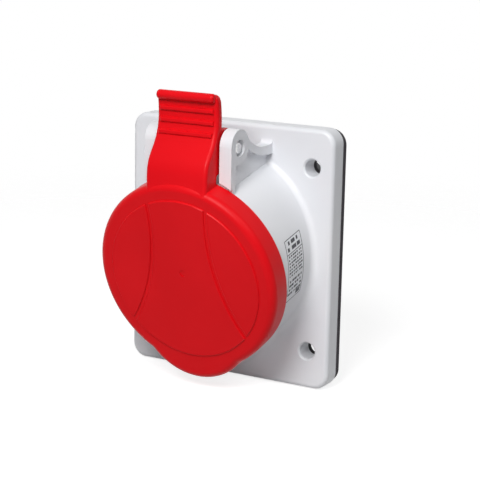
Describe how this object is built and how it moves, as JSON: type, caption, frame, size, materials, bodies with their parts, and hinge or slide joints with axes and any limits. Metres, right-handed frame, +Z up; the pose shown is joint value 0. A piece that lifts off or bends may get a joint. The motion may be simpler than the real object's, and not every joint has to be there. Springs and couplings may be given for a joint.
{
  "type": "industrial panel socket",
  "caption": "Angled panel-mounted power socket: square flange with gasket, leaning round shroud with keyed contact carrier, and a sprung hinged lid with thumb lever",
  "frame": {"origin": "centre of the four fixing holes, on the back of the gasket where it meets the panel", "axes": "+X to the right seen from the front, +Y into the panel, +Z up"},
  "size_m": [0.0752, 0.0735, 0.0972],
  "materials": {
    "housing_plastic": "satin moulded light grey plastic",
    "gasket_rubber": "matt soft dark grey rubber",
    "lid_plastic": "glossy moulded signal red plastic",
    "seal_rubber": "matt black rubber",
    "pin_steel": "turned stainless steel",
    "spring_steel": "drawn spring steel wire",
    "carrier_plastic": "matt moulded dark grey thermoset",
    "terminal_plastic": "matt moulded dark grey plastic",
    "screw_steel": "zinc plated steel",
    "contact_brass": "turned brass"
  },
  "bodies": {
    "socket": {"housing": "housing_plastic", "flange_gasket": "gasket_rubber", "hinge_pin": "pin_steel", "carrier_face": "carrier_plastic", "contact_carrier": "carrier_plastic", "terminal_housing": "terminal_plastic", "terminal_housing_screw": "screw_steel", "carrier_screws": "screw_steel", "line_terminal_screws": "screw_steel", "earth_terminal_screw": "screw_steel", "earth_contact": "contact_brass", "earth_spring_ring": "spring_steel", "line_1_contact": "contact_brass", "line_1_spring_ring": "spring_steel", "line_2_contact": "contact_brass", "line_2_spring_ring": "spring_steel", "line_3_contact": "contact_brass", "line_3_spring_ring": "spring_steel", "neutral_contact": "contact_brass", "neutral_spring_ring": "spring_steel"},
    "lid": {"lid": "lid_plastic", "lid_seal": "seal_rubber", "lid_spring": "spring_steel"}
  },
  "joints": [
    {"name": "lid_hinge", "type": "hinge", "parent": "socket", "child": "lid", "pos_m": [0, -0.0296, 0.03782], "axis": [-1, 0, 0], "range_deg": [0, 110], "stiffness_Nm_per_rad": 0.03, "springref_deg": -85.94, "deforming": ["lid_spring"]}
  ]
}
